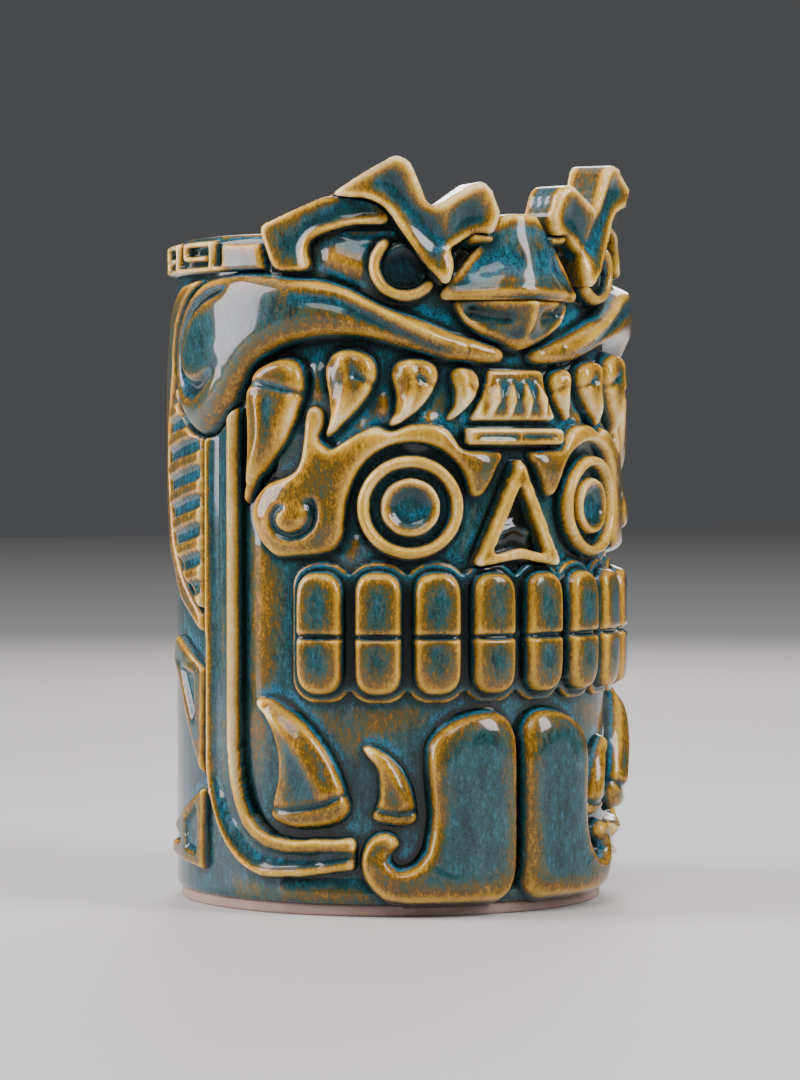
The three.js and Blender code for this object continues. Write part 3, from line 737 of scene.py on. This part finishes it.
def crest_core(props):
    """The part of the vessel that rises over the rim, inside the brows."""
    window = Window("vessel")
    foot = RIM_HEIGHT - props.crest_skirt
    raised = (window.inside * window.up).max(0) > RIM_HEIGHT + 1 * MM
    window.inside *= (window.up > foot) & raised
    blur, least = CORE_INSET
    window.inside = (blurred(window.inside, blur) > least).astype(float)
    lift = CORE_LIFT * eased((window.up - foot) / CORE_RUN) - CORE_SINK
    top = window.raw + lift + relief.sample(relief.wall, window.along, window.up)
    solid_piece(window, top, SEAT_DEPTH, "vessel_crest", TEAL, props)


def quarter(centre, radius, start, step=15):
    """Places on a quarter turn of a profile, counterclockwise unless the step is negative. Degrees."""
    turn = [math.radians(start + k * step) for k in range(7)]
    return [(centre[0] + radius * math.cos(a), centre[1] + radius * math.sin(a)) for a in turn]


def vessel_profile(lip):
    """Half of the vessel's section, from the middle of its underside to the middle of its floor."""
    low, corner = FOOT_HEIGHT, INNER_CORNER
    return [
        (0, low),
        (WALL_RADIUS - HEM, low),
        (WALL_RADIUS - HEM_CUT, low + HEM_CUT),
        *[(WALL_RADIUS, z) for z in np.arange(low + HEM, RIM_HEIGHT - lip, VESSEL_ROW)],
        *quarter((WALL_RADIUS - lip, RIM_HEIGHT - lip), lip, 0),
        *quarter((INNER_RADIUS + lip, RIM_HEIGHT - lip), lip, 90),
        *[(INNER_RADIUS, z) for z in np.linspace(RIM_HEIGHT - lip, FLOOR_HEIGHT + corner, 24)[1:]],
        *quarter((INNER_RADIUS - corner, FLOOR_HEIGHT + corner), corner, 0, -15)[1:],
        (0, FLOOR_HEIGHT),
    ]


def vessel_piece(props):
    """The vessel: a profile spun round the axis, with a blind pocket for the nose."""
    profile = vessel_profile(props.lip_round)
    mesh = bpy.data.meshes.new("vessel_body")
    mesh.from_pydata([(x, 0, z) for x, z in profile], [(k, k + 1) for k in range(len(profile) - 1)], [])
    piece = bpy.data.objects.new("vessel_body", mesh)
    bpy.context.scene.collection.objects.link(piece)
    clear_selection()
    bpy.context.view_layer.objects.active = piece
    piece.select_set(True)

    def spin():
        bpy.ops.mesh.spin(steps=VESSEL_STEPS, angle=2 * math.pi, center=(0, 0, 0), axis=(0, 0, 1))
        bpy.ops.mesh.select_all(action="SELECT")
        bpy.ops.mesh.remove_doubles(threshold=1e-5)
        outward()

    edit(piece, spin)
    places = get_places(piece)
    angle = np.arctan2(places[:, 0], -places[:, 1])
    angle = angle - FACE_BIAS * np.sin(angle)
    radius, up = radius_of(places), places[:, 2].copy()
    along = angle * WALL_RADIUS
    window = Window("vessel")
    pocket = blurred(np.minimum(window.raw, 0), POCKET_BLUR) * props.nose_depth
    i = np.clip(np.rint(up / Sheet.cell).astype(int) - window.rows[0], 0, len(window.rows) - 1)
    j = np.rint(along / Sheet.pitch).astype(int) - window.columns[0]
    j = np.clip(j, 0, len(window.columns) - 1)
    sunk = pocket[i, j] + relief.sample(relief.wall, along, up)
    outside = (radius > WALL_RADIUS - 0.6 * MM) & (up < RIM_HEIGHT - 2 * MM)
    radius = np.where(outside, radius + sunk, radius)
    set_places(piece, rolled(along, up, radius - WALL_RADIUS))
    glazed(piece, along, up)
    inner = radius < WALL_RADIUS - 0.8 * (WALL_RADIUS - INNER_RADIUS)
    share = np.where(inner, stepped(up, *RIM_ZONE), 1)
    for name in relief.glaze:
        layer = piece.data.attributes[name].data
        values = np.empty(len(radius))
        layer.foreach_get("value", values)
        layer.foreach_set("value", values * share)
    finished(piece, "vessel_body", TEAL, "vessel")


def foot_piece():
    """The bare clay ring that the mug stands on, turned from a disc."""
    low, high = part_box("foot_disc")
    middle = (0, 0, (high.z + low.z) / 2)
    clear_selection()
    bpy.ops.mesh.primitive_cylinder_add(
        vertices=160, radius=high.x, depth=high.z - low.z, end_fill_type="NGON", location=middle
    )
    piece = bpy.context.object
    bpy.ops.object.transform_apply(location=True, rotation=True, scale=True)

    def round_rims():
        bpy.ops.mesh.select_mode(type="EDGE")
        bpy.ops.mesh.select_all(action="DESELECT")
        bpy.ops.mesh.edges_select_sharp(sharpness=math.radians(60))
        bpy.ops.mesh.bevel(offset=0.6 * MM, segments=4, affect="EDGES")

    edit(piece, round_rims)
    finished(piece, "foot_ring", CLAY, "foot_disc")


# Finishes ----------------------------------------------------------------------------------------


class Amount:
    """A number that varies over a surface. An expression on it adds the Math nodes that work it out."""

    def __init__(self, finish, socket):
        self.finish = finish
        self.socket = socket

    def maths(self, operation, first, second):
        node = self.finish.node("ShaderNodeMath", {"operation": operation}, {0: first, 1: second})
        return Amount(self.finish, node.outputs[0])

    def __add__(self, other):
        return self.maths("ADD", self, other)

    def __radd__(self, other):
        return self.maths("ADD", other, self)

    def __sub__(self, other):
        return self.maths("SUBTRACT", self, other)

    def __rsub__(self, other):
        return self.maths("SUBTRACT", other, self)

    def __mul__(self, other):
        return self.maths("MULTIPLY", self, other)

    def __rmul__(self, other):
        return self.maths("MULTIPLY", other, self)

    def __truediv__(self, other):
        return self.maths("DIVIDE", self, other)

    def between(self, low, high):
        """0 up to low, 1 from high, and smooth between them."""
        settings = {"interpolation_type": "SMOOTHSTEP"}
        inputs = {"Value": self, "From Min": low, "From Max": high}
        node = self.finish.node("ShaderNodeMapRange", settings, inputs)
        return Amount(self.finish, node.outputs["Result"])


class Finish:
    """A material and the nodes that make it."""

    def __init__(self, name):
        self.material = bpy.data.materials.new(name)
        self.material.use_nodes = True
        self.tree = self.material.node_tree
        self.shader = self.tree.nodes["Principled BSDF"]

    def node(self, kind, settings=None, inputs=None):
        """A new node with its settings made and its inputs fed."""
        node = self.tree.nodes.new(kind)
        for name, value in (settings or {}).items():
            if name == "stops":
                self.set_stops(node.color_ramp, value)
            else:
                setattr(node, name, value)
        for name, value in (inputs or {}).items():
            self.feed(node.inputs[name], value)
        return node

    def feed(self, socket, value):
        """Links an amount or a socket to a socket, or sets the socket to a plain value."""
        if isinstance(value, Amount):
            value = value.socket
        if isinstance(value, bpy.types.NodeSocket):
            self.tree.links.new(value, socket)
        else:
            socket.default_value = value

    def set_stops(self, ramp, stops):
        """Gives a colour ramp its stops, each a place from 0 to 1 and a colour."""
        while len(ramp.elements) > 1:
            ramp.elements.remove(ramp.elements[-1])
        for index, (place, colour) in enumerate(stops):
            element = ramp.elements[0] if index == 0 else ramp.elements.new(place)
            element.position = place
            element.color = (*colour, 1)

    def attribute(self, name):
        """An attribute of the surface."""
        node = self.node("ShaderNodeAttribute", {"attribute_name": name})
        return Amount(self, node.outputs["Fac"])

    def grain(self, scale, stretch=(1, 1, 1), detail=3, rough=0.55):
        """Noise on the object's own coordinates, about 0 and mostly within 0.5 either way."""
        place = self.node("ShaderNodeTexCoord").outputs["Object"]
        place = self.node("ShaderNodeMapping", None, {"Vector": place, "Scale": stretch}).outputs[0]
        inputs = {"Vector": place, "Scale": scale, "Detail": detail, "Roughness": rough}
        noise = self.node("ShaderNodeTexNoise", None, inputs)
        return Amount(self, noise.outputs["Fac"]) - 0.5

    def ramp(self, amount, stops):
        """The colour that a ramp gives an amount."""
        return self.node("ShaderNodeValToRGB", {"stops": stops}, {"Fac": amount}).outputs["Color"]

    def mix(self, share, first, second):
        """A colour between two colours."""
        node = self.node("ShaderNodeMix", {"data_type": "RGBA"})
        self.feed(node.inputs[0], share)
        self.feed(node.inputs[6], first)
        self.feed(node.inputs[7], second)
        return node.outputs[2]

    def bump(self, height, distance, strength):
        """Small bumps in the surface."""
        inputs = {"Height": height, "Distance": distance, "Strength": strength}
        node = self.node("ShaderNodeBump", None, inputs)
        self.feed(self.shader.inputs["Normal"], node.outputs["Normal"])


def opaque(colour):
    """A colour with its alpha."""
    return (*colour, 1)


def glaze(name, warmth, props):
    """A glossy glaze: black where it lies deepest and where shade is painted into crevices, teal on flats,
    amber to cream where it thins.
    """
    finish = Finish(name)
    thin = finish.attribute("glaze_thin")
    pool = finish.attribute("glaze_pool")
    streak = finish.grain(1350, (1, 1, 0.42), 3, 0.75)
    fleck = finish.grain(2300, (1, 1, 0.8), 2, 0.7)
    cloud = finish.grain(85, (1, 1, 0.7), 3, 0.5)
    drift = finish.grain(420, (1, 1, 0.4), 3, 0.6)
    speck = (1.2 * streak + 0.9 * fleck) * (1 - 0.6 * thin.between(0.35, 0.95))
    level = thin + warmth + speck + 0.5 * cloud + 0.4 * drift
    share = (level + 2) / 4
    # the deep and crevice stops also show painted shade in crevices and recesses
    stops = [
        (0.18, props.deep),
        (0.31, props.crevice),
        (0.42, props.dark_teal),
        (0.50, props.teal),
        (0.555, props.olive),
        (0.60, props.brown),
        (0.655, props.amber),
        (0.75, props.gold),
        (0.85, props.cream),
    ]
    base = finish.ramp(share, stops)
    flat = share.between(0.40, 0.46) * (1 - share.between(0.53, 0.60))
    wet = (0.75 * pool + 5.0 * streak + 4.0 * fleck).between(0.0, 1.0)
    base = finish.mix(0.8 * flat * wet, base, opaque(props.blue))
    dark = (6.0 * fleck + 4.0 * drift + 2.0 * streak).between(-0.25, 0.95) * flat
    base = finish.mix(0.9 * dark, base, opaque(props.crevice))
    finish.feed(finish.shader.inputs["Base Color"], base)
    finish.feed(finish.shader.inputs["Roughness"], 0.24 + 0.12 * streak)
    finish.shader.inputs["IOR"].default_value = 1.5
    finish.shader.inputs["Specular IOR Level"].default_value = 0.15
    finish.shader.inputs["Coat Weight"].default_value = 1.0
    finish.shader.inputs["Coat Roughness"].default_value = 0.06
    finish.shader.inputs["Coat IOR"].default_value = 1.38
    finish.bump(0.5 * cloud + 0.25 * drift, 0.25 * MM, 0.75)
    return finish.material


def bare_clay(name, props):
    """Unglazed stoneware: matt, a little sandy, with darker grains and patches."""
    finish = Finish(name)
    sand = finish.grain(2600, (1, 1, 1), 3, 0.7)
    tone = finish.grain(160, (1, 1, 1), 2, 0.5)
    base = finish.mix((0.5 + sand + 0.6 * tone).between(0, 1), opaque(props.clay_dark), opaque(props.clay))
    finish.feed(finish.shader.inputs["Base Color"], base)
    finish.feed(finish.shader.inputs["Roughness"], 0.82 + 0.1 * tone)
    finish.bump(sand, 0.08 * MM, 0.6)
    return finish.material


# Sizes and colours that a user would change ------------------------------------------------------


def colour(name, description, default):
    """A colour property."""
    return FloatVectorProperty(name=name, description=description, default=default, subtype="COLOR", size=3)


def length(name, description, default):
    """A length property, in metres."""
    return FloatProperty(name=name, description=description, default=default, unit="LENGTH", precision=5)


def angle(name, description, default):
    """An angle property. The default is in degrees, and the property in radians."""
    return FloatProperty(name=name, description=description, default=math.radians(default), subtype="ANGLE")


class MugShape(bpy.types.PropertyGroup):
    """How fine, worn and deep the modelled forms are"""

    edge_break: length("Edge break", "How far from an edge the glaze thins", 0.8 * MM)
    slope_break: length("Slope break", "How far a raised form thins the glaze", 1.8 * MM)
    pool_run: length("Pool run", "How far glaze runs down before it pools", 2.6 * MM)
    crest_grain: length("Crest grain", "Fineness of the crests' surface", 0.36 * MM)
    crest_wear: IntProperty(name="Crest wear", description="How much the crests' edges are worn", default=8)
    crest_back: length("Crest back", "How far the crests reach behind the wall's face", 3.6 * MM)
    crest_skirt: length("Crest skirt", "How far the crest's core reaches below the rim", 17 * MM)
    lip_round: length("Lip round", "Rounding of the drinking edge", 2.4 * MM)
    nose_sides: length("Nose sides", "How deep the nose frame's sides go", 3.2 * MM)
    nose_depth: FloatProperty(
        name="Nose depth", description="Depth of the nose pocket, as a share of the frame's", default=1.15
    )


class GlazeColours(bpy.types.PropertyGroup):
    """The glaze from where it lies deepest, with painted shade in its crevices, to where it is thinnest,
    and the clay under it
    """

    # deep and crevice also serve as painted shade in crevices and recesses
    deep: colour("Deep", "Glaze in the deepest crevices", (0.003, 0.006, 0.005))
    crevice: colour("Crevice", "Glaze in crevices", (0.006, 0.016, 0.016))
    dark_teal: colour("Dark teal", "Glaze beside raised forms", (0.010, 0.045, 0.050))
    teal: colour("Teal", "Glaze on flats", (0.017, 0.082, 0.090))
    blue: colour("Blue", "Glaze where it pools", (0.018, 0.19, 0.30))
    olive: colour("Olive", "Glaze that starts to thin", (0.085, 0.08, 0.02))
    brown: colour("Brown", "Glaze near an edge", (0.14, 0.072, 0.008))
    amber: colour("Amber", "Glaze on a soft edge", (0.32, 0.165, 0.014))
    gold: colour("Gold", "Glaze on a raised edge", (0.66, 0.40, 0.05))
    cream: colour("Cream", "Glaze on the sharpest edges", (0.96, 0.79, 0.43))
    clay: colour("Clay", "Bare clay", (0.42, 0.31, 0.26))
    clay_dark: colour("Dark clay", "Bare clay in its darker grains", (0.26, 0.17, 0.13))


class ViewChoice(bpy.types.PropertyGroup):
    """Where the camera stands and looks"""

    azimuth: angle("Azimuth", "Where the camera stands round the mug", -32.8)
    distance: length("Distance", "From the camera to the mug's axis", 882 * MM)
    eye: length("Eye height", "Camera height over the foot", 99 * MM)
    tilt: angle("Tilt", "How far the camera looks down", 1.385)
    pan: angle("Pan", "How far the camera looks to the right of the axis", 0.13)
    lens: FloatProperty(
        name="Lens", description="Focal length on a 36 mm frame", default=133.8, unit="CAMERA"
    )


# Operators ---------------------------------------------------------------------------------------


def lay_relief(*stems):
    """Makes every node whose name starts with one of the stems."""
    for stem in stems:
        for node in sorted(n for n in frame["nodes"] if n.startswith(stem)):
            relief_piece(node)


class Maker(bpy.types.Operator):
    """Makes pieces of the mug"""

    bl_options = {"REGISTER", "UNDO"}

    def make(self, shape, colours):
        """What each operator does."""
        raise NotImplementedError

    def execute(self, context):
        self.make(context.scene.mug_shape, context.scene.mug_colours)
        return {"FINISHED"}


class MUG_OT_finishes(Maker):
    """Mixes the glazes and the bare clay, and reads the relief off the frame"""

    bl_idname = "mug.finishes"
    bl_label = "Glazes and relief"

    def make(self, shape, colours):
        survey()
        relief.settle(shape)
        glaze(TEAL + FINISH, -0.02, colours)
        glaze(AMBER + FINISH, 0.07, colours)
        bare_clay(CLAY + FINISH, colours)


class MUG_OT_vessel(Maker):
    """The vessel, spun from its profile, and the bare foot"""

    bl_idname = "mug.vessel"
    bl_label = "Vessel and foot"

    def make(self, shape, colours):
        vessel_piece(shape)
        foot_piece()


class MUG_OT_brows(Maker):
    """The crested brows that stand up over the rim"""

    bl_idname = "mug.brows"
    bl_label = "Brows"

    def make(self, shape, colours):
        for side in SIDES:
            worn_piece("brow_ridge_" + side, shape)
            worn_piece("brow_lid_" + side, shape)
        worn_piece("beak_bridge", shape)
        crest_core(shape)


class MUG_OT_beast(Maker):
    """The beast's lip, beak, eyes and upper fangs"""

    bl_idname = "mug.beast"
    bl_label = "Beast's upper jaw"

    def make(self, shape, colours):
        lay_relief("lip", "beak_under", "eye_crescent", "beast_pupil", "upper_fang")


class MUG_OT_jaw(Maker):
    """The beast's jaw band, tongue and lower fangs"""

    bl_idname = "mug.jaw"
    bl_label = "Beast's lower jaw"

    def make(self, shape, colours):
        lay_relief("jaw_band", "tongue", "lower_fang")


class MUG_OT_skull(Maker):
    """The skull's eyes, brow arches, nose, plaque and teeth"""

    bl_idname = "mug.skull"
    bl_label = "Skull"

    def make(self, shape, colours):
        lay_relief("eye_ring", "eye_iris", "brow_arch", "incisor_plaque", "plaque_bar")
        worn_piece("nose_frame", shape, shape.nose_sides)
        lay_relief("gum_plate", "tooth_pair")


class MUG_OT_sides(Maker):
    """Feather fans, panels, the fret under the rim and the spine"""

    bl_idname = "mug.sides"
    bl_label = "Sides and back"

    def make(self, shape, colours):
        lay_relief("feather_fan", "fan_rim", "zigzag_panel", "corner_panel", "rim_frieze", "back_spine")


def around(azimuth, elevation=0):
    """The direction out from the mug's axis at an azimuth and an elevation, in radians."""
    flat = math.cos(elevation)
    return Vector((math.sin(azimuth) * flat, -math.cos(azimuth) * flat, math.sin(elevation)))


def softbox(name, place, target, size, power, tint):
    """A rectangular light that points at a target."""
    light = bpy.data.lights.new(name, "AREA")
    light.shape = "RECTANGLE"
    light.size, light.size_y = size
    light.energy = power
    light.color = tint
    lamp = bpy.data.objects.new(name, light)
    bpy.context.scene.collection.objects.link(lamp)
    lamp.location = place
    lamp.rotation_euler = (Vector(target) - Vector(place)).to_track_quat("-Z", "Y").to_euler()


HEART = Vector((0, 0, 0.09))  # what the lights point at
SOFTBOXES = (  # name, azimuth and elevation in degrees, distance, size, power, colour
    ("left", -118, 22, 0.8, (0.42, 0.7), 11, (1, 0.9, 0.96)),
    ("right", 26, 32, 0.85, (0.28, 0.5), 7, (1, 0.94, 0.98)),
    ("front", -48, 48, 1.0, (0.5, 0.4), 3.6, (1, 0.98, 0.97)),
    ("top", 180, 89, 2.2, (3.2, 3.2), 32, (1, 1, 1)),
    ("rear", 140, 30, 1.0, (0.5, 0.6), 5, (1, 0.98, 0.95)),
)


class MUG_OT_stage(Maker):
    """A pale floor, soft studio light and the camera"""

    bl_idname = "mug.stage"
    bl_label = "Stage"

    def make(self, shape, colours):
        view = bpy.context.scene.mug_view
        clear_selection()
        bpy.ops.mesh.primitive_plane_add(size=6, location=(0, 0, 0))
        floor = bpy.context.object
        floor.name = "floor"
        finish = Finish("floor")
        finish.shader.inputs["Base Color"].default_value = opaque((0.56, 0.55, 0.54))
        finish.shader.inputs["Roughness"].default_value = 0.6
        floor.data.materials.append(finish.material)
        world = bpy.data.worlds.new("studio")
        world.use_nodes = True
        world.node_tree.nodes["Background"].inputs["Color"].default_value = opaque((0.72, 0.74, 0.78))
        world.node_tree.nodes["Background"].inputs["Strength"].default_value = 0.1
        bpy.context.scene.world = world
        for name, azimuth, elevation, reach, size, power, tint in SOFTBOXES:
            place = HEART + reach * around(math.radians(azimuth), math.radians(elevation))
            softbox(name, place, HEART, size, power, tint)
        camera = bpy.data.objects.new("camera", bpy.data.cameras.new("camera"))
        bpy.context.scene.collection.objects.link(camera)
        camera.location = view.distance * around(view.azimuth) + Vector((0, 0, view.eye))
        camera.rotation_euler = (math.radians(90) - view.tilt, 0, view.azimuth - view.pan)
        camera.data.lens = view.lens
        camera.data.clip_start = 0.05
        bpy.context.scene.camera = camera


class MUG_PT_panel(bpy.types.Panel):
    """Lists the steps that make the mug"""

    bl_idname = "MUG_PT_panel"
    bl_label = "Tiki mug"
    bl_space_type = "VIEW_3D"
    bl_region_type = "UI"
    bl_category = "Tiki mug"

    def draw(self, context):
        for operator in OPERATORS:
            self.layout.operator(operator.bl_idname)
        for group in (context.scene.mug_shape, context.scene.mug_colours, context.scene.mug_view):
            for name in group.bl_rna.properties.keys():
                if name not in ("rna_type", "name"):
                    self.layout.prop(group, name)


GROUPS = (MugShape, GlazeColours, ViewChoice)
OPERATORS = (
    MUG_OT_finishes,
    MUG_OT_vessel,
    MUG_OT_brows,
    MUG_OT_beast,
    MUG_OT_jaw,
    MUG_OT_skull,
    MUG_OT_sides,
    MUG_OT_stage,
)
CLASSES = (*GROUPS, *OPERATORS, MUG_PT_panel)


def register():
    for each in CLASSES:
        bpy.utils.register_class(each)
    bpy.types.Scene.mug_shape = PointerProperty(type=MugShape)
    bpy.types.Scene.mug_colours = PointerProperty(type=GlazeColours)
    bpy.types.Scene.mug_view = PointerProperty(type=ViewChoice)


def unregister():
    del bpy.types.Scene.mug_view
    del bpy.types.Scene.mug_colours
    del bpy.types.Scene.mug_shape
    for each in reversed(CLASSES):
        bpy.utils.unregister_class(each)


def main():
    """Makes the mug and its stage."""
    register()
    bpy.ops.mug.finishes()
    bpy.ops.mug.vessel()
    bpy.ops.mug.brows()
    bpy.ops.mug.beast()
    bpy.ops.mug.jaw()
    bpy.ops.mug.skull()
    bpy.ops.mug.sides()
    bpy.ops.mug.stage()


if __name__ == "__main__":
    main()
